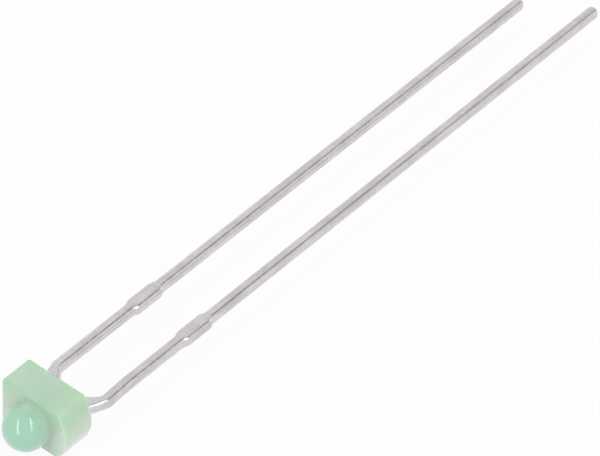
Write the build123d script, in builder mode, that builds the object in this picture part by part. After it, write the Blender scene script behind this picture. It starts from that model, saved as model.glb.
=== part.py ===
from build123d import *
import os

os.makedirs("parts", exist_ok=True)

# A through-hole light-emitting diode of the 1.8 mm dome size, all sizes in millimetres.
# X runs from the cathode lead to the anode lead, Y from the lens towards the lead tips, and Z
# through the thickness of the body. The origin is the centre of the body's base face, on the
# middle plane of the lead frame.

# ---- Driving dimensions ----

# Cast epoxy body
body_width = 3.24
body_thickness = 2.35
body_depth = 1.53
anode_side_bulge = 0.41
body_edge_radius = 0.06

# Dome on the front of the body
dome_diameter = 1.86
dome_collar = 0.425
dome_root_radius = 0.06

# Lead frame: both leads are stamped from one sheet
lead_pitch = 2.54
lead_width = 0.48
lead_thickness = 0.48
lead_edge_radius = 0.17
cathode_lead_length = 29.2
anode_lead_length = 30.85
tip_radius = 0.20

# Ears left on each lead by the cut-off tie bar
ear_position = 6.2
ear_length = 1.30
ear_ramp = 0.18
ear_height = 0.10

# Crank by which a lead leaves the body wide and close to the middle, then runs out to the pitch
neck_inner = 0.42
neck_width = 0.71
crank_start = 0.40
cathode_crank_end = 1.18
anode_crank_end = 1.08
cathode_crank_bow = 0.00
anode_crank_bow = 0.06
crank_inner_radius = 0.25
crank_outer_radius = 0.60
straight_start = 2.40

# Cathode head inside the body: an anvil that carries the reflector cup
anvil_half_width = 0.30
anvil_height = 0.56
anvil_foot = 0.36
anvil_heel = 0.22
head_diameter = 0.70
head_length = 0.62
head_seat = 0.12
head_cover = 0.11
cup_rim_diameter = 0.54
cup_floor_diameter = 0.36
cup_depth = 0.24

# Anode post inside the body, to which the wire is bonded
post_gap = 0.23
post_width = 0.44
post_foot = 0.40
post_cover = 0.13

# Chip, its bond and its wire
chip_side = 0.24
chip_height = 0.20
attach_margin = 0.01
attach_thickness = 0.02
wire_diameter = 0.03
wire_loop = 0.16
wire_bend_radius = 0.06
ball_diameter = 0.08
ball_height = 0.025
stitch_length = 0.10
stitch_width = 0.06
stitch_height = 0.012

# ---- Places that follow from them ----

leg_x = lead_pitch / 2
half_width = body_width / 2
half_thickness = body_thickness / 2
dome_radius = dome_diameter / 2
dome_centre_y = -(body_depth + dome_collar)
neck_outer = neck_inner + neck_width
head_front_y = -(body_depth - head_cover)
head_back_y = head_front_y + head_length
anvil_front_y = head_back_y - head_seat
anvil_back_y = anvil_front_y + anvil_height - anvil_heel
cup_floor_y = head_front_y + cup_depth
post_inner = head_diameter / 2 + post_gap
post_outer = post_inner + post_width
post_x = (post_inner + post_outer) / 2
post_front_y = -(body_depth - post_cover)
attach_diameter = cup_floor_diameter - 2 * attach_margin
chip_base_y = cup_floor_y - attach_thickness
chip_top_y = chip_base_y - chip_height
wire_top_y = chip_top_y - wire_loop


def leg_outline(side, length, crank_end, crank_bow):
    """Outline of a lead outside the body, on the side of X that side gives as -1 or 1."""
    inner = leg_x - lead_width / 2
    outer = leg_x + lead_width / 2
    ear_start = ear_position - ear_length / 2
    ear_end = ear_position + ear_length / 2

    def point(x, y):
        return (side * x, y)

    FilletPolyline(
        point(neck_inner, 0),
        point(neck_inner, crank_start),
        point(inner + crank_bow, crank_end),
        point(inner, straight_start),
        radius=crank_inner_radius,
    )
    Polyline(
        point(inner, straight_start),
        point(inner, ear_start - ear_ramp),
        point(inner - ear_height, ear_start),
        point(inner - ear_height, ear_end),
        point(inner, ear_end + ear_ramp),
        point(inner, length),
        point(outer, length),
        point(outer, ear_end + ear_ramp),
        point(outer + ear_height, ear_end),
        point(outer + ear_height, ear_start),
        point(outer, ear_start - ear_ramp),
        point(outer, straight_start),
    )
    FilletPolyline(
        point(outer, straight_start),
        point(outer + crank_bow, crank_end),
        point(neck_outer, 0),
        radius=crank_outer_radius,
    )
    Line(point(neck_outer, 0), point(neck_inner, 0))


def sheet_edges(part):
    """Edges of the two faces of the sheet that a lead is stamped from."""
    faces = part.faces().sort_by(Axis.Z)
    return faces[0].edges() + faces[-1].edges()


# ---- Cathode lead: leg, anvil and reflector cup ----

with BuildPart() as cathode_lead:
    with BuildSketch(Plane.XY) as cathode_leg:
        with BuildLine():
            leg_outline(-1, cathode_lead_length, cathode_crank_end, cathode_crank_bow)
        make_face()
        fillet(cathode_leg.vertices().group_by(Axis.Y)[-1], radius=tip_radius)
        with BuildLine():
            Polyline(
                (-neck_inner, 0),
                (anvil_half_width, anvil_back_y),
                (anvil_half_width, anvil_front_y),
                (-anvil_half_width, anvil_front_y),
                (-neck_outer, -anvil_foot),
                (-neck_outer, 0),
                close=True,
            )
        make_face()
    extrude(amount=lead_thickness / 2, both=True)
    fillet(sheet_edges(cathode_lead), radius=lead_edge_radius)
    with BuildSketch(Plane.XZ.offset(-head_back_y)):
        Circle(head_diameter / 2)
    extrude(amount=head_length)
    with BuildSketch(Plane.XY):
        with BuildLine():
            Polyline(
                (0, cup_floor_y),
                (cup_floor_diameter / 2, cup_floor_y),
                (cup_rim_diameter / 2, head_front_y),
                (0, head_front_y),
                close=True,
            )
        make_face()
    revolve(axis=Axis.Y, mode=Mode.SUBTRACT)
cathode_lead.part.label = "cathode_lead"

# ---- Anode lead: leg and bond post ----

with BuildPart() as anode_lead:
    with BuildSketch(Plane.XY) as anode_leg:
        with BuildLine():
            leg_outline(1, anode_lead_length, anode_crank_end, anode_crank_bow)
        make_face()
        fillet(anode_leg.vertices().group_by(Axis.Y)[-1], radius=tip_radius)
        with BuildLine():
            Polyline(
                (neck_inner, 0),
                (post_inner, -post_foot),
                (post_inner, post_front_y),
                (post_outer, post_front_y),
                (post_outer, -post_foot),
                (neck_outer, 0),
                close=True,
            )
        make_face()
    extrude(amount=lead_thickness / 2, both=True)
    fillet(sheet_edges(anode_lead), radius=lead_edge_radius)
anode_lead.part.label = "anode_lead"

# ---- Chip on its pad of silver-filled epoxy, in the cup ----

with BuildPart() as die_attach:
    with BuildSketch(Plane.XZ.offset(-cup_floor_y)):
        Circle(attach_diameter / 2)
    extrude(amount=attach_thickness)
die_attach.part.label = "die_attach"

with BuildPart() as led_chip:
    with BuildSketch(Plane.XZ.offset(-chip_base_y)):
        Rectangle(chip_side, chip_side)
    extrude(amount=chip_height)
led_chip.part.label = "led_chip"

# ---- Gold wire: ball on the chip, loop over the rim of the cup, stitch on the post ----

with BuildPart() as bond_wire:
    with BuildSketch(Plane.XZ.offset(-chip_top_y)):
        Circle(ball_diameter / 2)
    extrude(amount=ball_height)
    with BuildLine(Plane.XY) as wire_path:
        FilletPolyline(
            (0, chip_top_y - ball_height / 2),
            (0, wire_top_y),
            (post_x / 2, wire_top_y),
            (post_x, post_front_y),
            radius=wire_bend_radius,
        )
    with BuildSketch(Plane(wire_path.line @ 0, z_dir=wire_path.line % 0)):
        Circle(wire_diameter / 2)
    sweep(path=wire_path.line)
    with BuildSketch(Plane.XZ.offset(-post_front_y)):
        with Locations((post_x, 0)):
            Rectangle(stitch_length, stitch_width)
    extrude(amount=stitch_height)
    add(anode_lead.part, mode=Mode.SUBTRACT)
bond_wire.part.label = "bond_wire"

# ---- Cast body and dome, closed round everything that is potted in it ----

with BuildPart() as lens_body:
    with BuildSketch(Plane.XZ):
        with BuildLine():
            Polyline(
                (half_width - anode_side_bulge, half_thickness),
                (-half_width, half_thickness),
                (-half_width, -half_thickness),
                (half_width - anode_side_bulge, -half_thickness),
            )
            ThreePointArc(
                (half_width - anode_side_bulge, -half_thickness),
                (half_width, 0),
                (half_width - anode_side_bulge, half_thickness),
            )
        make_face()
    extrude(amount=body_depth)
    block_edges = lens_body.edges()
    fillet(block_edges, radius=body_edge_radius)
    with BuildSketch(Plane.XY):
        with BuildLine():
            Line((0, 0), (dome_radius, 0))
            Line((dome_radius, 0), (dome_radius, dome_centre_y))
            RadiusArc((dome_radius, dome_centre_y), (0, dome_centre_y - dome_radius), dome_radius)
            Line((0, dome_centre_y - dome_radius), (0, 0))
        make_face()
    revolve(axis=Axis.Y)
    root = lens_body.edges().filter_by(GeomType.CIRCLE).filter_by(
        lambda edge: abs(edge.center().Y + body_depth) < 1e-6 and abs(edge.radius - dome_radius) < 1e-6
    )
    fillet(root, radius=dome_root_radius)
    add(cathode_lead.part, mode=Mode.SUBTRACT)
    add(anode_lead.part, mode=Mode.SUBTRACT)
    add(die_attach.part, mode=Mode.SUBTRACT)
    add(led_chip.part, mode=Mode.SUBTRACT)
    add(bond_wire.part, mode=Mode.SUBTRACT)
lens_body.part.label = "lens_body"

export_step(lens_body.part, "parts/lens_body.step")
export_step(cathode_lead.part, "parts/cathode_lead.step")
export_step(anode_lead.part, "parts/anode_lead.step")
export_step(led_chip.part, "parts/led_chip.step")
export_step(die_attach.part, "parts/die_attach.step")
export_step(bond_wire.part, "parts/bond_wire.step")
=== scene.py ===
# %% [markdown]
# # A small green indicator diode
#
# This is a lesson in building a light-emitting diode for a board: a block of cast epoxy with a
# dome on its front, and two long leads stamped from one sheet of tinned steel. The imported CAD
# model gives every size and place. Blender gives soft edges, a finish to each surface, a floor,
# lamps and a camera.
#
# All lengths are in metres, as in the frame, so a millimetre is written as `MM`. X runs from the
# cathode lead to the anode lead, Y from the dome towards the lead tips, and Z through the body.

# %% Load the CAD frame
import math

import bmesh
import bpy
from mathutils import Matrix, Vector


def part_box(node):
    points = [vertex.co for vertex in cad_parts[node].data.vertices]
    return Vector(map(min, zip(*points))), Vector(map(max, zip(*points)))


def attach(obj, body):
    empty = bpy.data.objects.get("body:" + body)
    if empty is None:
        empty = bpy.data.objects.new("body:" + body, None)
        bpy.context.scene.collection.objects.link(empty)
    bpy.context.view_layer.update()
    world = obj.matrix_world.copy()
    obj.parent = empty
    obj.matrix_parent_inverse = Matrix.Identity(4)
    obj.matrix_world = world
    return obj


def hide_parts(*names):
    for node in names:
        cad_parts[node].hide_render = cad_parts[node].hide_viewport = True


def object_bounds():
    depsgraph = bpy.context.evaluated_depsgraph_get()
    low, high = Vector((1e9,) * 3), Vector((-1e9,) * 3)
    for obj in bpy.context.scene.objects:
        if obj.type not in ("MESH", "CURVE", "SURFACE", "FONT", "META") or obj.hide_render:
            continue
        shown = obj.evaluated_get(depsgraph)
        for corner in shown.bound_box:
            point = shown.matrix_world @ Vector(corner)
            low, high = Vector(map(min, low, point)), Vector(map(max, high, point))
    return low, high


MM = 0.001

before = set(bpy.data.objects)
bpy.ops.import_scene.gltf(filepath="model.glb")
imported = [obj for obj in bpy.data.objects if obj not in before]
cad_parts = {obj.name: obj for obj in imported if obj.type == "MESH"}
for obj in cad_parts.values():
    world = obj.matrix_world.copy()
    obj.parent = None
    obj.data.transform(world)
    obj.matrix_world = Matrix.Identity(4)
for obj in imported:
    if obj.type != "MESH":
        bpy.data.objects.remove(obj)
cad_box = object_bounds()
print("CAD nodes:", sorted(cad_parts))

# %% [markdown]
# ## Sizes taken from the frame
#
# The frame gives the outer size of each node. What it can't give, such as the depth of the block,
# is a named value that repeats the size the CAD model was drawn with. The edges of the body and
# the root of the dome are a little rounder here than in the CAD model, and so are the corners of
# the ears, because that gives a softer look within the same outer size.

# %% Sizes of the cast body
body_low, body_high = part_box("lens_body")
half_width = body_high.x
half_thickness = body_high.z
dome_tip_y = body_low.y
dome_radius = 0.93 * MM
block_depth = 1.53 * MM
side_bulge = 0.41 * MM
body_edge = 0.08 * MM
dome_root = 0.08 * MM
dome_centre_y = dome_tip_y + dome_radius
print("body", [round(v / MM, 3) for v in (2 * half_width, 2 * half_thickness, -dome_tip_y)], "mm")

# %% Sizes of the stamped leads
cathode_tip_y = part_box("cathode_lead")[1].y
anode_tip_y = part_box("anode_lead")[1].y
half_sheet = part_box("anode_lead")[1].z
lead_half_width = 0.24 * MM
lead_edge = 0.17 * MM
leg_x = 1.27 * MM
tip_radius = 0.20 * MM
ear_start, ear_end = 5.55 * MM, 6.85 * MM
ear_ramp = 0.18 * MM
ear_height = 0.10 * MM
ear_soft = 0.34 * MM
neck_inner, neck_outer = 0.42 * MM, 1.13 * MM
crank_start = 0.40 * MM
cathode_crank_end, anode_crank_end = 1.18 * MM, 1.08 * MM
anode_crank_bow = 0.06 * MM
crank_inner_radius, crank_outer_radius = 0.25 * MM, 0.60 * MM
straight_start = 2.40 * MM
print("lead tips at", round(cathode_tip_y / MM, 2), "and", round(anode_tip_y / MM, 2), "mm")

# %% [markdown]
# ## Helpers for meshes
#
# Each piece starts as a few vertices or a primitive in a bmesh, and operators shape it. The
# helpers here do the small jobs that every piece needs: a flat outline, a rounded corner, a
# rounded edge, an extrusion, an arc, and the last step that turns a bmesh into an object that
# rides on the frame. That step adds a Weighted Normal modifier, which shades each large flat face
# as truly flat and leaves all of the turn to the narrow rounded edge beside it.

# %% Outlines, corners and edges


def outline_face(bm, points):
    """A flat face whose corners are the points, in order."""
    corners = [bm.verts.new(point) for point in points]
    return bm.faces.new(corners)


def bevel(bm, items, affect, offset, steps):
    """The bevel operator with the editor's defaults."""
    bmesh.ops.bevel(
        bm, geom=items, affect=affect, offset=offset, offset_type="OFFSET", segments=steps,
        profile=0.5, material=-1, clamp_overlap=False,
    )


def round_corner(bm, corner, radius, steps):
    """Rounds one corner of a flat outline, as a fillet of that radius."""
    ahead, behind = (edge.other_vert(corner).co - corner.co for edge in corner.link_edges)
    turn = math.pi - ahead.angle(behind)
    bevel(bm, [corner], "VERTICES", radius * math.tan(turn / 2), steps)


def rounded_outline(bm, corners, steps=6):
    """A flat face from corners that each come with a fillet radius."""
    face = outline_face(bm, [point for point, _ in corners])
    rounded = [(vert, radius) for vert, (_, radius) in zip(list(face.verts), corners) if radius]
    for vert, radius in rounded:
        round_corner(bm, vert, radius, steps)


def sharp_edges(bm, degrees):
    """Edges where two faces meet at more than an angle."""
    paired = [edge for edge in bm.edges if len(edge.link_faces) == 2]
    return [edge for edge in paired if edge.calc_face_angle() > math.radians(degrees)]


# %% Extrusions, arcs and full turns


def extrude_face(bm, face, offset):
    """Extrudes a face, and returns the moved copy of it."""
    made = bmesh.ops.extrude_face_region(bm, geom=[face])["geom"]
    moved = [item for item in made if isinstance(item, bmesh.types.BMVert)]
    bmesh.ops.translate(bm, verts=moved, vec=offset)
    return [item for item in made if isinstance(item, bmesh.types.BMFace)][0]


def arc(bm, start, centre, axis, angle, steps):
    """Edges of an arc that starts at a vertex and turns about an axis. Returns its last vertex."""
    made = bmesh.ops.spin(
        bm, geom=[start], cent=centre, axis=axis, angle=angle, steps=steps, use_merge=False
    )
    return [item for item in made["geom_last"] if isinstance(item, bmesh.types.BMVert)][0]


def line(bm, start, point):
    """A straight edge from a vertex to a point. Returns its last vertex."""
    end = bm.verts.new(point)
    bm.edges.new((start, end))
    return end


def turn_profile(bm, edges, steps):
    """Spins a profile once round the Y axis and closes its pole."""
    corners = list({vert for edge in edges for vert in edge.verts})
    bmesh.ops.spin(
        bm, geom=edges + corners, cent=(0, 0, 0), axis=(0, 1, 0), angle=2 * math.pi,
        steps=steps, use_merge=True,
    )
    bmesh.ops.remove_doubles(bm, verts=bm.verts[:], dist=0.0005 * MM)


def fill_between_rims(bm, outward):
    """Fills the flat gap between all open rims, and prints whether an edge stayed open."""
    open_rims = [edge for edge in bm.edges if edge.is_boundary]
    bmesh.ops.triangle_fill(bm, edges=open_rims, use_beauty=True, normal=outward)
    still_open = sum(edge.is_boundary for edge in bm.edges)
    print("gap between", len(open_rims), "edges filled, edges still open:", still_open)


# %% From a bmesh to a piece on the frame


def place(bm, name, finish, node):
    """Makes the bmesh an object that stands for a CAD node, with its faces outwards and smooth."""
    bmesh.ops.remove_doubles(bm, verts=bm.verts[:], dist=0.0005 * MM)
    bmesh.ops.recalc_face_normals(bm, faces=bm.faces[:])
    mesh = bpy.data.meshes.new(name)
    bm.to_mesh(mesh)
    bm.free()
    mesh.shade_smooth()
    mesh.materials.append(finish)
    piece = bpy.data.objects.new(name, mesh)
    bpy.context.scene.collection.objects.link(piece)
    weighting = piece.modifiers.new("even flat faces", "WEIGHTED_NORMAL")
    weighting.weight = 100
    weighting.keep_sharp = True
    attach(piece, "root")
    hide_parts(node)
    print(name, len(mesh.polygons), "faces")


# %% [markdown]
# ## Helpers for materials
#
# A material is a small sum: this colour, a little darker where the noise is high, and so on.
# `Value` wraps a node's output so that such a sum can be written as one. `Nodes` makes nodes in
# any tree, and `Finish` is such a tree with a Principled shader. Whatever is the same all over a
# surface is set straight on the shader.

# %% Arithmetic on node outputs


class Value:
    """A node's output that arithmetic can be written on. Each operator adds one Math node."""

    def __init__(self, nodes, socket):
        self.nodes = nodes
        self.socket = socket

    def _math(self, operation, first, second):
        return self.nodes.node("ShaderNodeMath", {"operation": operation}, {0: first, 1: second})

    def __add__(self, other):
        return self._math("ADD", self, other)

    def __radd__(self, other):
        return self._math("ADD", other, self)

    def __sub__(self, other):
        return self._math("SUBTRACT", self, other)

    def __rsub__(self, other):
        return self._math("SUBTRACT", other, self)

    def __mul__(self, other):
        return self._math("MULTIPLY", self, other)

    def __rmul__(self, other):
        return self._math("MULTIPLY", other, self)


# %% Nodes and finishes


class Nodes:
    """One way to make any node: its type, its settings, and the values or links of its sockets."""

    def __init__(self, tree):
        self.tree = tree

    def node(self, kind, settings=None, inputs=None, output=0):
        made = self.tree.nodes.new(kind)
        for name, value in (settings or {}).items():
            setattr(made, name, value)
        for name, value in (inputs or {}).items():
            if isinstance(value, Value):
                self.tree.links.new(value.socket, made.inputs[name])
            else:
                made.inputs[name].default_value = value
        return Value(self, made.outputs[output])

    def coordinate(self, kind):
        return self.node("ShaderNodeTexCoord", output=kind)

    def axes(self, vector):
        """The X, Y and Z of a vector, as three values."""
        split = self.node("ShaderNodeSeparateXYZ", inputs={0: vector}).socket.node
        return [Value(self, output) for output in split.outputs]

    def noise(self, where, scale, detail=2.0, roughness=0.5):
        """Noise from 0 to 1 at a place, with this many grains to the metre."""
        return self.node(
            "ShaderNodeTexNoise",
            inputs={"Vector": where, "Scale": scale, "Detail": detail, "Roughness": roughness},
        )

    def between(self, value, low, high, kind="SMOOTHSTEP"):
        """A value that goes from 0 to 1 as another goes from low to high."""
        return self.node(
            "ShaderNodeMapRange",
            {"interpolation_type": kind},
            {"Value": value, "From Min": low, "From Max": high},
        )

    def blend(self, factor, first, second):
        """One colour that turns into another as the factor goes from 0 to 1."""
        return self.node(
            "ShaderNodeMix", {"data_type": "RGBA"}, {0: factor, 6: first, 7: second}, output=2
        )

    def rays(self):
        """Masks of the rays from the camera, of those in gloss and of those through glass."""
        path = self.node("ShaderNodeLightPath").socket.node
        kinds = ("Is Camera Ray", "Is Glossy Ray", "Is Transmission Ray")
        return [Value(self, path.outputs[kind]) for kind in kinds]


class Finish(Nodes):
    """A material with a Principled shader."""

    def __init__(self, name, **constants):
        self.material = bpy.data.materials.new(name)
        self.material.use_nodes = True
        super().__init__(self.material.node_tree)
        self.shader = self.tree.nodes["Principled BSDF"]
        for socket, value in constants.items():
            self.shader.inputs[socket.replace("_", " ")].default_value = value

    def drive(self, socket, value):
        self.tree.links.new(value.socket, self.shader.inputs[socket])

    def place_of(self, scale=(1, 1, 1), turn=(0, 0, 0)):
        """Object coordinates, stretched and turned for one pattern."""
        here = self.coordinate("Object")
        return self.node(
            "ShaderNodeMapping", inputs={"Vector": here, "Scale": scale, "Rotation": turn}
        )

    def bump(self, height, depth):
        """A bump of this depth in metres."""
        relief = self.node("ShaderNodeBump", inputs={"Height": height, "Distance": depth})
        self.drive("Normal", relief)


# %% [markdown]
# ## Finish of the cast epoxy
#
# The body is clear epoxy with a green dye and a fine white powder that spreads the light. It
# looks like a boiled sweet: pale, milky and a little glossy. Light goes in under the surface and
# comes out nearby, so the shader scatters it over a fraction of a millimetre. A glass shader with
# a real cloud inside would be truer and far slower, and at this size it would look the same.
#
# The dye is not quite even. The dome, where the epoxy is thickest and clearest, is a cooler
# green. The block is greyer to the left and yellower to the right. Light and shade are painted
# over the dye: the faces below the top are painted paler and greyer as a painted sheen, and a
# painted shade darkens the block's edges and the place over the metal head that stands inside it,
# which the milky epoxy lets show dimly. The mould leaves the faces slightly uneven, so that
# reflections waver.

# %% Green diffused epoxy
leaf_green = (0.470, 0.690, 0.500, 1)
grey_green = (0.535, 0.690, 0.570, 1)
yellow_green = (0.490, 0.680, 0.470, 1)
# Colour of the painted sheen on the faces below the top.
painted_sheen_green = (0.600, 0.710, 0.610, 1)
sea_green = (0.370, 0.640, 0.485, 1)
# Colour of the painted shade over the metal head.
painted_head_shade = (0.400, 0.600, 0.430, 1)
# Colour of the painted shade along the block's edges.
painted_edge_shade = (0.350, 0.490, 0.370, 1)


# The mask of the painted shade along the block's edges.
def block_edges(finish, across, along, above):
    """A mask that is 1 on the edges of the block and 0 in the middle of its faces."""
    reach = 0.20 * MM
    thick = finish.node("ShaderNodeMath", {"operation": "ABSOLUTE"}, {0: above})
    top_or_bottom = finish.between(thick, half_thickness - reach, half_thickness)
    front = finish.between(along, reach - block_depth, -block_depth)
    back = finish.between(along, -reach, 0.0)
    flat_side = finish.between(across, reach - half_width, -half_width)
    faces_met = top_or_bottom + front + back + flat_side
    return finish.between(faces_met, 1.05, 1.9)


def diffused_epoxy():
    finish = Finish(
        "green_diffused_epoxy",
        Subsurface_Weight=0.8,
        Subsurface_Radius=(0.8, 1.0, 0.85),
        Subsurface_Scale=0.40 * MM,
        IOR=1.5,
        Coat_Weight=0.6,
        Coat_Roughness=0.12,
    )
    here = finish.coordinate("Object")
    across, along, above = finish.axes(here)
    cloud = finish.noise(here, 900, detail=1.0)
    swirl = finish.noise(finish.place_of(scale=(1.0, 2.2, 1.4), turn=(0.3, 0.2, 0.7)), 2300)

    epoxy_colour = finish.blend(finish.between(cloud, 0.35, 0.65), grey_green, leaf_green)
    to_right = finish.between(across * 0.7 + along * 0.7 + swirl * (0.8 * MM), 0.0, 1.0 * MM)
    epoxy_colour = finish.blend(to_right * 0.75, epoxy_colour, yellow_green)
    # Painted sheen: below the top face the block is painted paler and greyer, as a lit front face looks.
    low_down = finish.between(above + swirl * (0.6 * MM), 1.25 * MM, 0.35 * MM)
    epoxy_colour = finish.blend(low_down * 0.85, epoxy_colour, painted_sheen_green)

    # Painted shade over the metal head, which stands for the head seen dimly through the milky epoxy.
    head_centre = (0, -0.95 * MM, 0)
    from_head = finish.node(
        "ShaderNodeVectorMath", {"operation": "DISTANCE"}, {0: here, 1: head_centre}, "Value"
    )
    over_head = finish.between(from_head, 1.60 * MM, 1.15 * MM)
    epoxy_colour = finish.blend(over_head * 0.35, epoxy_colour, painted_head_shade)

    in_dome = finish.between(along, -block_depth - 0.10 * MM, -block_depth - 0.60 * MM)
    epoxy_colour = finish.blend(in_dome * 0.9, epoxy_colour, sea_green)

    # Painted shade darkens the block's edges, away from the dome.
    on_edge = block_edges(finish, across, along, above)
    finish.drive("Base Color", finish.blend(on_edge * (1 - in_dome) * 0.5, epoxy_colour, painted_edge_shade))

    grain = finish.noise(here, 16000)
    finish.bump(cloud * 0.85 + grain * 0.15, 0.005 * MM)
    finish.drive("Roughness", finish.between(swirl, 0.2, 0.8) * 0.08 + 0.10)
    return finish.material


green_epoxy = diffused_epoxy()
print("finish:", green_epoxy.name)

# %% [markdown]
# ## The cast body
#
# The mould gives the body its shape: a block with one flat side, which marks the cathode, one
# bulged side, and a dome that stands on a short collar. A Boolean union of a block and a ball
# would leave no root fillet and poor faces, so the block is extruded from its outline and the
# dome is spun from its profile. The front face of the block is then cut out, and the gap between
# the two rims is filled again. Both rims first get a narrow flat border, so that the fill meets
# only flat faces and shades evenly.

# %% Block of the body
flat_border = 0.03 * MM


def body_outline(bm, steps):
    """The block's outline on its back face: three straight sides and one arc."""
    arc_radius = (half_thickness ** 2 + side_bulge ** 2) / (2 * side_bulge)
    arc_angle = 2 * math.asin(half_thickness / arc_radius)
    first = bm.verts.new((half_width - side_bulge, 0, -half_thickness))
    last = arc(bm, first, (half_width - arc_radius, 0, 0), (0, -1, 0), arc_angle, steps)
    top = line(bm, last, (-half_width, 0, half_thickness))
    bottom = line(bm, top, (-half_width, 0, -half_thickness))
    bm.edges.new((bottom, first))
    bmesh.ops.contextual_create(bm, geom=bm.edges[:])


def flat_face(bm, y):
    """The largest face of the block at one place along Y."""
    found = [f for f in bm.faces if abs(f.calc_center_median().y - y) < 0.001 * MM]
    return max(found, key=lambda f: f.calc_area())


def cast_block(bm):
    body_outline(bm, 28)
    extrude_face(bm, bm.faces[:][0], (0, -block_depth, 0))
    bmesh.ops.recalc_face_normals(bm, faces=bm.faces[:])
    bevel(bm, sharp_edges(bm, 30), "EDGES", body_edge, 5)


# %% Dome of the body
rim_radius = dome_radius + dome_root + flat_border


def cast_dome(bm, steps):
    """The dome with its collar, root and flat border, spun about the Y axis."""
    before = set(bm.edges)
    border = bm.verts.new((rim_radius, -block_depth, 0))
    foot = line(bm, border, (dome_radius + dome_root, -block_depth, 0))
    root_centre = (dome_radius + dome_root, -block_depth - dome_root, 0)
    collar = arc(bm, foot, root_centre, (0, 0, 1), math.pi / 2, 5)
    shoulder = line(bm, collar, (dome_radius, dome_centre_y, 0))
    arc(bm, shoulder, (0, dome_centre_y, 0), (0, 0, -1), math.pi / 2, 24)
    turn_profile(bm, [edge for edge in bm.edges if edge not in before], steps)


body = bmesh.new()
cast_block(body)
front = flat_face(body, -block_depth)
bmesh.ops.inset_region(body, faces=[front], thickness=flat_border)
bmesh.ops.delete(body, geom=[front], context="FACES_ONLY")
cast_dome(body, 80)
fill_between_rims(body, (0, -1, 0))

# %% [markdown]
# ## The poured back
#
# The back is the open side of the mould, where the epoxy was poured. It cures a little dished,
# and it creeps up each lead in a low skirt. The dish is three insets of the back face. Each skirt
# starts as an outline round the lead on the floor of the dish, and is extruded in steps that draw
# in towards the metal. Each step leaves the face it grew from inside, so that face is deleted. A skirt could be a separate block stuck through the back, but light that
# scatters under the surface goes dark where two skins cross. So the floor of the dish is cut out
# and filled again round the feet of the skirts, as the front was.

# %% Dished back, and the skirts round the leads
skirt_spread = 0.11 * MM
skirt_steps = ((0.080, 0.010), (0.050, 0.030), (0.025, 0.062), (0.006, 0.110))


def pour_back(bm):
    """Sinks the back face in three insets, and returns the place of the dish's floor."""
    back = flat_face(bm, 0)
    bmesh.ops.inset_region(bm, faces=[back], thickness=0.03 * MM, depth=0.0)
    bmesh.ops.inset_region(bm, faces=[back], thickness=0.07 * MM, depth=-0.022 * MM)
    bmesh.ops.inset_region(bm, faces=[back], thickness=0.06 * MM, depth=-0.008 * MM)
    floor_y = back.verts[0].co.y
    bmesh.ops.delete(bm, geom=[back], context="FACES_ONLY")
    return floor_y


def epoxy_skirt(bm, side, floor_y):
    """A skirt round one lead, open at its foot, that ends in a thin edge on the metal."""
    middle_x = (neck_inner + neck_outer) / 2
    wide = (neck_outer - neck_inner) / 2 + skirt_spread
    tall = half_sheet + skirt_spread
    ring = [(-wide, -tall), (wide, -tall), (wide, tall), (-wide, tall)]
    before = set(bm.verts)
    rounded_outline(bm, [((side * (middle_x + x), floor_y, z), 0.20 * MM) for x, z in ring])
    top = [v for v in bm.verts if v not in before][0].link_faces[0]
    middle = Vector((side * middle_x, 0, 0))
    height, spread = 0.0, skirt_spread
    for next_spread, next_height in skirt_steps:
        below = top
        top = extrude_face(bm, below, (0, next_height * MM - height, 0))
        bmesh.ops.delete(bm, geom=[below], context="FACES_ONLY")
        drawn_in = spread - next_spread * MM
        bmesh.ops.scale(
            bm, vec=(1 - drawn_in / wide, 1, 1 - drawn_in / tall), verts=top.verts[:],
            space=Matrix.Translation(-middle),
        )
        height, spread = next_height * MM, next_spread * MM
        wide, tall = wide - drawn_in, tall - drawn_in
    print("skirt on side", side, "ends at", round(top.verts[0].co.y / MM, 3), "mm")


dish_y = pour_back(body)
for side in (-1, 1):
    epoxy_skirt(body, side, dish_y)
fill_between_rims(body, (0, 1, 0))
place(body, "cast_body", green_epoxy, "lens_body")

# %% [markdown]
# ## Finish of the tinned leads
#
# Tin plating is a soft, bright metal, a little greyer and warmer than chrome. The strip was drawn
# and then rubbed in the feeder, so fine lines run along it, with small dents, dull spots and a
# few scratches across it. A metal shows what it mirrors: its colour is set a little under the
# tone wanted, and the studio around it makes the bright bands and the dark line on its edge.

# %% Tin plating
dull_tin = (0.560, 0.530, 0.555, 1)
bright_tin = (0.690, 0.662, 0.685, 1)
warm_tin = (0.690, 0.640, 0.635, 1)


def tin_plating():
    finish = Finish("tin_plating", Metallic=1.0, IOR=1.5)
    drawn = finish.noise(finish.place_of(scale=(1.0, 0.04, 1.0)), 17000, detail=3.0, roughness=0.6)
    dull = finish.noise(finish.place_of(scale=(1.0, 0.40, 1.0)), 2600, detail=3.0)
    rubbed = finish.noise(finish.place_of(scale=(0.12, 1.0, 0.12), turn=(0, 0, 0.5)), 11000, 3.0)
    spots = finish.noise(finish.place_of(), 7000, detail=3.0)
    scratch = finish.between(rubbed, 0.55, 0.64)
    tone = finish.between(dull * 0.55 + drawn * 0.45 - scratch * 0.10, 0.36, 0.62)
    patch = finish.between(finish.noise(finish.place_of(), 260, detail=1.0), 0.50, 0.62)
    tin_colour = finish.blend(patch * 0.8, bright_tin, warm_tin)
    finish.drive("Base Color", finish.blend(tone, dull_tin, tin_colour))
    finish.drive("Roughness", finish.between(spots, 0.3, 0.75) * 0.14 + 0.19)
    finish.bump(drawn * 0.28 + dull * 0.47 + spots * 0.15 - scratch * 0.1, 0.010 * MM)
    return finish.material


tin = tin_plating()
print("finish:", tin.name)

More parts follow.
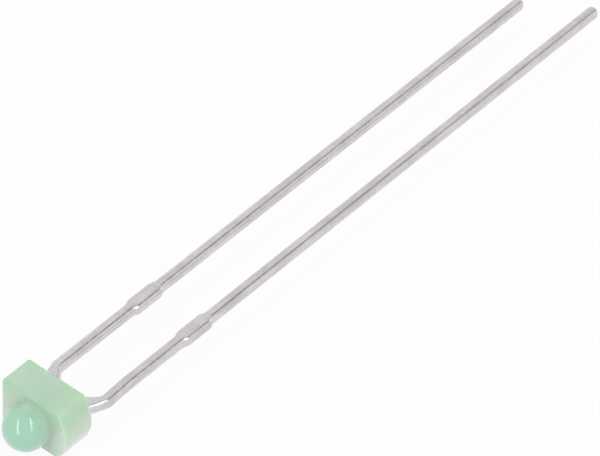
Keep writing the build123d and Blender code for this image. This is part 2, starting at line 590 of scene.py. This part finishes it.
# %% [markdown]
# ## The stamped leads
#
# Both leads come from one sheet, so each is a flat outline with a thickness. The outline has the
# neck that is potted in the epoxy, the crank that spreads the pair to the board's pitch, the ears
# that are left of the cut tie bar, and a cropped tip. A path with a square section can't have the
# ears and the wide neck, so the outline is drawn as one face and extruded, and the edges of both
# its faces are rounded, as plating and tumbling leave them.

# %% Outline of a leg


def leg_corners(side, tip_y, crank_end, crank_bow):
    """Corners of a leg from the inner neck round the tip to the outer neck, with fillet radii."""
    inner = leg_x - lead_half_width
    outer = leg_x + lead_half_width
    inner_side = [
        (neck_inner, 0, 0),
        (neck_inner, crank_start, crank_inner_radius),
        (inner + crank_bow, crank_end, crank_inner_radius),
        (inner, straight_start, 0),
        (inner, ear_start - ear_ramp, ear_soft),
        (inner - ear_height, ear_start, ear_soft),
        (inner - ear_height, ear_end, ear_soft),
        (inner, ear_end + ear_ramp, ear_soft),
        (inner, tip_y, tip_radius),
    ]
    outer_side = [
        (outer, tip_y, tip_radius),
        (outer, ear_end + ear_ramp, ear_soft),
        (outer + ear_height, ear_end, ear_soft),
        (outer + ear_height, ear_start, ear_soft),
        (outer, ear_start - ear_ramp, ear_soft),
        (outer, straight_start, 0),
        (outer + crank_bow, crank_end, crank_outer_radius),
        (neck_outer, 0, 0),
    ]
    return [((side * x, y), radius) for x, y, radius in inner_side + outer_side]


def stamp(corners):
    """A lead cut from the sheet: a rounded outline, its thickness and its soft edges."""
    bm = bmesh.new()
    rounded_outline(bm, [((x, y, -half_sheet), radius) for (x, y), radius in corners])
    extrude_face(bm, bm.faces[:][0], (0, 0, 2 * half_sheet))
    bmesh.ops.recalc_face_normals(bm, faces=bm.faces[:])
    rims = [e for e in bm.edges if abs(e.verts[0].co.z - e.verts[1].co.z) < 0.001 * MM]
    bevel(bm, rims, "EDGES", lead_edge, 6)
    return bm


# %% Cathode lead, with the reflector cup on its anvil
head_cover = 0.11 * MM
head_front_y = -(block_depth - head_cover)
head_length = 0.62 * MM
head_seat = 0.12 * MM
head_radius = 0.35 * MM
cup_rim_radius, cup_floor_radius, cup_depth = 0.27 * MM, 0.18 * MM, 0.24 * MM
anvil_half_width = 0.30 * MM
anvil_foot = 0.36 * MM
anvil_height, anvil_heel = 0.56 * MM, 0.22 * MM
anvil_front_y = head_front_y + head_length - head_seat
anvil_back_y = anvil_front_y + anvil_height - anvil_heel


def reflector_cup(bm):
    """The coined head: a short drum with a polished cone in its front, as a closed shape."""
    before = set(bm.edges)
    end = bm.verts.new((0, head_front_y + head_length, 0))
    for x, y in (
        (head_radius, head_front_y + head_length),
        (head_radius, head_front_y),
        (cup_rim_radius, head_front_y),
        (cup_floor_radius, head_front_y + cup_depth),
        (0, head_front_y + cup_depth),
    ):
        end = line(bm, end, (x, y, 0))
    turn_profile(bm, [edge for edge in bm.edges if edge not in before], 40)


anvil = [
    ((-neck_outer, -anvil_foot), 0),
    ((-anvil_half_width, anvil_front_y), 0),
    ((anvil_half_width, anvil_front_y), 0),
    ((anvil_half_width, anvil_back_y), 0),
]
cathode = stamp(leg_corners(-1, cathode_tip_y, cathode_crank_end, 0.0) + anvil)
reflector_cup(cathode)
place(cathode, "tinned_cathode_lead", tin, "cathode_lead")

# %% Anode lead, with the post that takes the wire
post_inner, post_outer = 0.58 * MM, 1.02 * MM
post_cover = 0.13 * MM
post_front_y = -(block_depth - post_cover)
post_foot_y = -0.40 * MM

post = [
    ((post_outer, post_foot_y), 0),
    ((post_outer, post_front_y), 0),
    ((post_inner, post_front_y), 0),
    ((post_inner, post_foot_y), 0),
]
anode = stamp(leg_corners(1, anode_tip_y, anode_crank_end, anode_crank_bow) + post)
place(anode, "tinned_anode_lead", tin, "anode_lead")

# %% [markdown]
# ## Inside the epoxy
#
# The chip, its glue and its wire keep their CAD shapes, because the milky epoxy hides them. Each
# still gets its own finish, from one function: two tones of a colour in fine flecks.

# %% Finishes of the inner pieces


def speckled(name, dark, light, grain, **constants):
    finish = Finish(name, **constants)
    fleck = finish.noise(finish.place_of(), grain, detail=3.0)
    finish.drive("Base Color", finish.blend(finish.between(fleck, 0.35, 0.65), dark, light))
    finish.bump(fleck, 0.002 * MM)
    return finish.material


def dress(node, material):
    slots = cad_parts[node].data.materials
    slots.clear()
    slots.append(material)
    print(node, "is", material.name)


sawn_chip = speckled(
    "sawn_chip", (0.40, 0.30, 0.06, 1), (0.62, 0.50, 0.14, 1), 24000, Roughness=0.35
)
silver_paste = speckled(
    "silver_epoxy", (0.50, 0.50, 0.48, 1), (0.72, 0.72, 0.70, 1), 60000, Roughness=0.6
)
drawn_gold = speckled(
    "drawn_gold", (0.78, 0.54, 0.18, 1), (0.90, 0.68, 0.28, 1), 40000, Metallic=1.0, Roughness=0.25
)
dress("led_chip", sawn_chip)
dress("die_attach", silver_paste)
dress("bond_wire", drawn_gold)

# %% [markdown]
# ## Floor
#
# The diode lies on a wide sheet of white card. The card's own colour is pale grey, as a real one
# lit evenly would be. To the camera most of it is replaced by plain white, so that the background
# is white without more light on the diode, and the rest of it keeps the diode's soft shadow. In
# reflections all of it is plain white.

# %% White card
card_half_size = 1.5
card_white_to_camera = 0.93


def pale_card():
    finish = Finish("pale_card", Roughness=0.9, Base_Color=(0.88, 0.88, 0.88, 1))
    white = finish.node("ShaderNodeEmission", inputs={"Color": (1, 1, 1, 1), "Strength": 1.0})
    to_camera, in_gloss, through_glass = finish.rays()
    whiteness = to_camera * card_white_to_camera + in_gloss + through_glass
    card = Value(finish, finish.shader.outputs[0])
    shown = finish.node("ShaderNodeMixShader", inputs={0: whiteness, 1: card, 2: white})
    surface = finish.tree.nodes["Material Output"].inputs["Surface"]
    finish.tree.links.new(shown.socket, surface)
    return finish.material


card_bm = bmesh.new()
bmesh.ops.create_grid(card_bm, x_segments=1, y_segments=1, size=card_half_size)
bmesh.ops.translate(card_bm, verts=card_bm.verts[:], vec=(0, 0, cad_box[0][2]))
card_mesh = bpy.data.meshes.new("floor")
card_bm.to_mesh(card_mesh)
card_bm.free()
card_mesh.materials.append(pale_card())
floor = bpy.data.objects.new("floor", card_mesh)
bpy.context.scene.collection.objects.link(floor)
print("floor at", round(cad_box[0][2] / MM, 3), "mm")

# %% [markdown]
# ## The studio around it
#
# The world stands for a white tent. It lights the diode evenly from all sides, which is what
# makes the epoxy look soft. Metal mirrors the tent too, and a tent without a break would make the
# leads flat white, so it has a dark opening behind and to the right. The rounded edge of each
# lead mirrors that opening as a dark line, while its flat top and side mirror white.

# %% Tent with a dark opening
tent_light = 0.68
opening_white = 0.33


def tent():
    world = bpy.data.worlds.new("tent")
    bpy.context.scene.world = world
    world.use_nodes = True
    nodes = Nodes(world.node_tree)
    to_right, to_back, _ = nodes.axes(nodes.coordinate("Generated"))
    sides = nodes.between(to_right, -0.47, -0.06) * nodes.between(to_right, 0.62, 0.26)
    ends = nodes.between(to_back, 0.15, 0.40) * (1 - 0.75 * nodes.between(to_back, 0.53, 0.68))
    opening = sides * ends
    to_camera, in_gloss, through_glass = nodes.rays()
    seen = to_camera + in_gloss + through_glass
    strength = tent_light + seen * (1 - tent_light) - in_gloss * opening * (1 - opening_white)
    background = world.node_tree.nodes["Background"]
    background.inputs["Color"].default_value = (1, 1, 1, 1)
    world.node_tree.links.new(strength.socket, background.inputs["Strength"])


tent()
print("tent light", tent_light)

# %% [markdown]
# ## Camera
#
# The camera looks down on the dome from the front right, so that the leads run away to the upper
# right. It stands about a quarter of a metre off with a long lens, which keeps the two leads
# almost parallel, and it is turned a little about its own axis.

# %% Camera
azimuth, elevation, roll = (math.radians(angle) for angle in (38.87, 44.42, 2.5))
aim = Vector((0.63, 13.2, 0.0)) * MM
distance = 241.2 * MM

towards = Vector((
    math.cos(elevation) * math.sin(azimuth),
    -math.cos(elevation) * math.cos(azimuth),
    math.sin(elevation),
))
level = Vector((math.cos(azimuth), math.sin(azimuth), 0))
right = math.cos(roll) * level + math.sin(roll) * towards.cross(level)
up = towards.cross(right)


def stand(x_axis, y_axis, z_axis, position):
    """The matrix of a thing that looks down its own Z axis from a position."""
    matrix = Matrix((x_axis, y_axis, z_axis)).transposed().to_4x4()
    matrix.translation = position
    return matrix


camera_data = bpy.data.cameras.new("camera")
camera_data.lens = 370.7
camera_data.clip_start = 10 * MM
camera = bpy.data.objects.new("camera", camera_data)
bpy.context.scene.collection.objects.link(camera)
camera.matrix_world = stand(right, up, towards, aim + distance * towards)
bpy.context.scene.camera = camera
print("camera", round(distance / MM), "mm away")

# %% [markdown]
# ## Lamps
#
# Two tall, narrow softboxes stand to the left and right of the camera. They add the rest of the
# light, and they are what the dome mirrors as two soft upright streaks. A third, small box stands
# low behind the diode. It is there for the small white glints where a lead bends or an ear ends.

# %% Softboxes
lamp_distance = 0.4
strip_width = 0.065
low_behind = Vector((0.29, 0.92, 0.26)).normalized()


def beside_camera(across, above):
    """A direction given by angles to the camera's right and above it."""
    a, b = math.radians(across), math.radians(above)
    return math.cos(b) * (math.cos(a) * towards + math.sin(a) * right) + math.sin(b) * up


def softbox(name, outward, width, height, radiance):
    """A flat lamp that stands off in one direction and is aimed at the body."""
    lamp = bpy.data.lights.new(name, "AREA")
    lamp.shape = "RECTANGLE"
    lamp.size = width
    lamp.size_y = height
    lamp.energy = radiance * math.pi * width * height
    box = bpy.data.objects.new(name, lamp)
    bpy.context.scene.collection.objects.link(box)
    sideways = up.cross(outward).normalized()
    box.matrix_world = stand(sideways, outward.cross(sideways), outward, lamp_distance * outward)
    box.visible_camera = False
    print(name, "gives", round(lamp.energy, 3), "W")


softbox("left_strip", beside_camera(-37, 5), strip_width, 0.54, 3.7)
softbox("right_strip", beside_camera(29, 16), strip_width, 0.43, 4.2)
softbox("low_back_box", low_behind, 0.05, 0.06, 3.0)

bpy.context.scene.view_settings.view_transform = "Standard"
